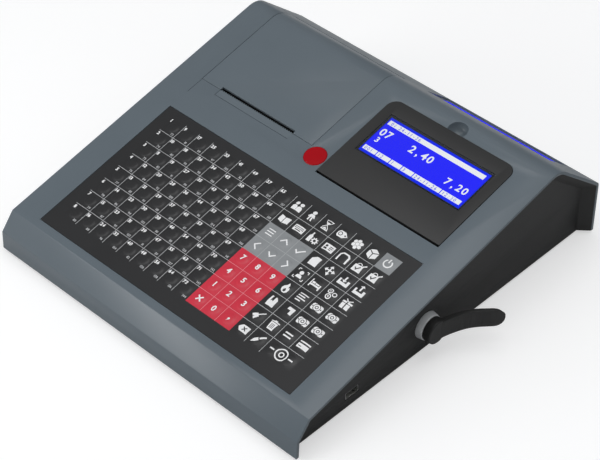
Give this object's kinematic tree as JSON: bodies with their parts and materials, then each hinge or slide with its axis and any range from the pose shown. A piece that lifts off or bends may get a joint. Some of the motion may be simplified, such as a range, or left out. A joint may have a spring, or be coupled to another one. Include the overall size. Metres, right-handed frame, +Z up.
{
  "type": "ticket register",
  "caption": "Sloping counter-top ticket register with a flat keyboard, tilting display, ticket printer under a lid, rear display and a waiter lock with its key.",
  "frame": {"origin": "middle of the case's footprint on the counter, at the bottom of the rubber feet", "axes": "+X to the operator's right, +Y from the operator to the customer, +Z up"},
  "size_m": [0.3526, 0.343, 0.0962],
  "materials": {
    "cover_plastic": "fine-textured blue-grey moulding",
    "case_plastic": "fine-textured black moulding",
    "frame_plastic": "dark grey moulding",
    "foot_rubber": "soft black rubber",
    "plated_steel": "zinc plated",
    "bright_steel": "ground and bright",
    "keyboard_film": "printed film, satin",
    "switch_rubber": "grey silicone",
    "circuit_board": "green lacquer on glass fibre",
    "display_glass": "clear window",
    "display_panel": "lit blue liquid crystal",
    "white_plastic": "natural acetal",
    "brass": "turned brass",
    "platen_rubber": "ground rubber",
    "head_ceramic": "glazed ceramic",
    "aluminium": "mill finish",
    "paper": "smooth thermal paper",
    "cardboard": "grey-brown board",
    "red_plastic": "glossy red moulding",
    "customer_window": "dark clear window",
    "lock_chrome": "polished",
    "chip_plastic": "moulded epoxy",
    "socket_plastic": "black nylon",
    "ribbon": "grey ribbon cable"
  },
  "bodies": {
    "root": {"top_cover": "cover_plastic", "lower_case": "case_plastic", "rubber_feet": "foot_rubber", "case_screws": "plated_steel", "keyboard_film": "keyboard_film", "keyboard_mat": "switch_rubber", "keyboard_board": "circuit_board", "keyboard_backing": "plated_steel", "display_well": "case_plastic", "display_hinge_pins": "bright_steel", "small_screws": "plated_steel", "tear_bar": "bright_steel", "lid_hinge_pins": "bright_steel", "idler_stud": "bright_steel", "motor_can": "plated_steel", "printer_frame": "frame_plastic", "print_head": "head_ceramic", "head_heat_sink": "aluminium", "head_springs": "plated_steel", "paper_web": "paper", "button_spring": "plated_steel", "customer_window": "customer_window", "customer_panel": "display_panel", "customer_bracket": "frame_plastic", "lock_collar": "lock_chrome", "lock_reader": "case_plastic", "main_board": "circuit_board", "port_boards": "circuit_board", "board_parts": "chip_plastic", "clock_battery": "bright_steel", "power_converter": "chip_plastic", "sales_memory": "chip_plastic", "beeper": "chip_plastic", "usb_shells": "bright_steel", "usb_tongues": "white_plastic", "network_socket": "socket_plastic", "drawer_socket": "socket_plastic", "serial_sockets": "plated_steel", "power_inlet": "socket_plastic", "ribbon_cables": "ribbon"},
    "display": {"display_bezel": "case_plastic", "display_glass": "display_glass", "display_panel": "display_panel", "display_back": "case_plastic", "display_screws": "plated_steel"},
    "lid": {"paper_lid": "cover_plastic", "platen_bushes": "white_plastic"},
    "platen": {"platen_shaft": "bright_steel", "platen_rubber": "platen_rubber", "platen_gear": "white_plastic"},
    "idler": {"idler_gear": "white_plastic"},
    "motor_rotor": {"motor_pinion": "brass", "motor_shaft": "bright_steel"},
    "roll": {"paper_roll": "paper", "roll_core": "cardboard"},
    "latch": {"latch_bar": "bright_steel"},
    "button": {"release_button": "red_plastic"},
    "key": {"key_can": "bright_steel", "key_handle": "case_plastic"}
  },
  "joints": [
    {"name": "lid_hinge", "type": "hinge", "parent": "root", "child": "lid", "pos_m": [0, 0.13089, 0.08065], "axis": [-1, 0, 0], "range_deg": [0, 80]},
    {"name": "roll_spin", "type": "hinge", "parent": "root", "child": "roll", "pos_m": [0, 0.088, 0.05], "axis": [1, 0, 0], "continuous": true},
    {"name": "platen_spin", "type": "hinge", "parent": "lid", "child": "platen", "pos_m": [0, 0.03723, 0.06725], "axis": [1, 0, 0], "continuous": true},
    {"name": "idler_spin", "type": "hinge", "parent": "root", "child": "idler", "pos_m": [0, 0.04136, 0.04932], "axis": [1, 0, 0], "continuous": true},
    {"name": "motor_spin", "type": "hinge", "parent": "root", "child": "motor_rotor", "pos_m": [0, 0.03012, 0.03683], "axis": [1, 0, 0], "continuous": true},
    {"name": "display_tilt", "type": "hinge", "parent": "root", "child": "display", "pos_m": [0, 0.01328, 0.07137], "axis": [1, 0, 0], "range_deg": [0, 50]},
    {"name": "latch_turn", "type": "hinge", "parent": "root", "child": "latch", "pos_m": [0, 0.02194, 0.05346], "axis": [1, 0, 0], "range_deg": [-2, 14]},
    {"name": "release_press", "type": "slide", "parent": "root", "child": "button", "axis": [0, 0.225, -0.9744], "range_m": [0, 0.003], "stiffness_N_per_m": 300, "springref_m": -0.001, "deforming": ["button_spring"]},
    {"name": "key_pull", "type": "slide", "parent": "root", "child": "key", "axis": [1, 0, 0], "range_m": [0, 0.012]}
  ],
  "couplings": [
    {"joint": "platen_spin", "follows": "roll_spin", "ratio": 7},
    {"joint": "idler_spin", "follows": "roll_spin", "ratio": -3.7333},
    {"joint": "motor_spin", "follows": "roll_spin", "ratio": 9.3333},
    {"joint": "latch_turn", "follows": "release_press", "rad_per_m": 66.6}
  ]
}
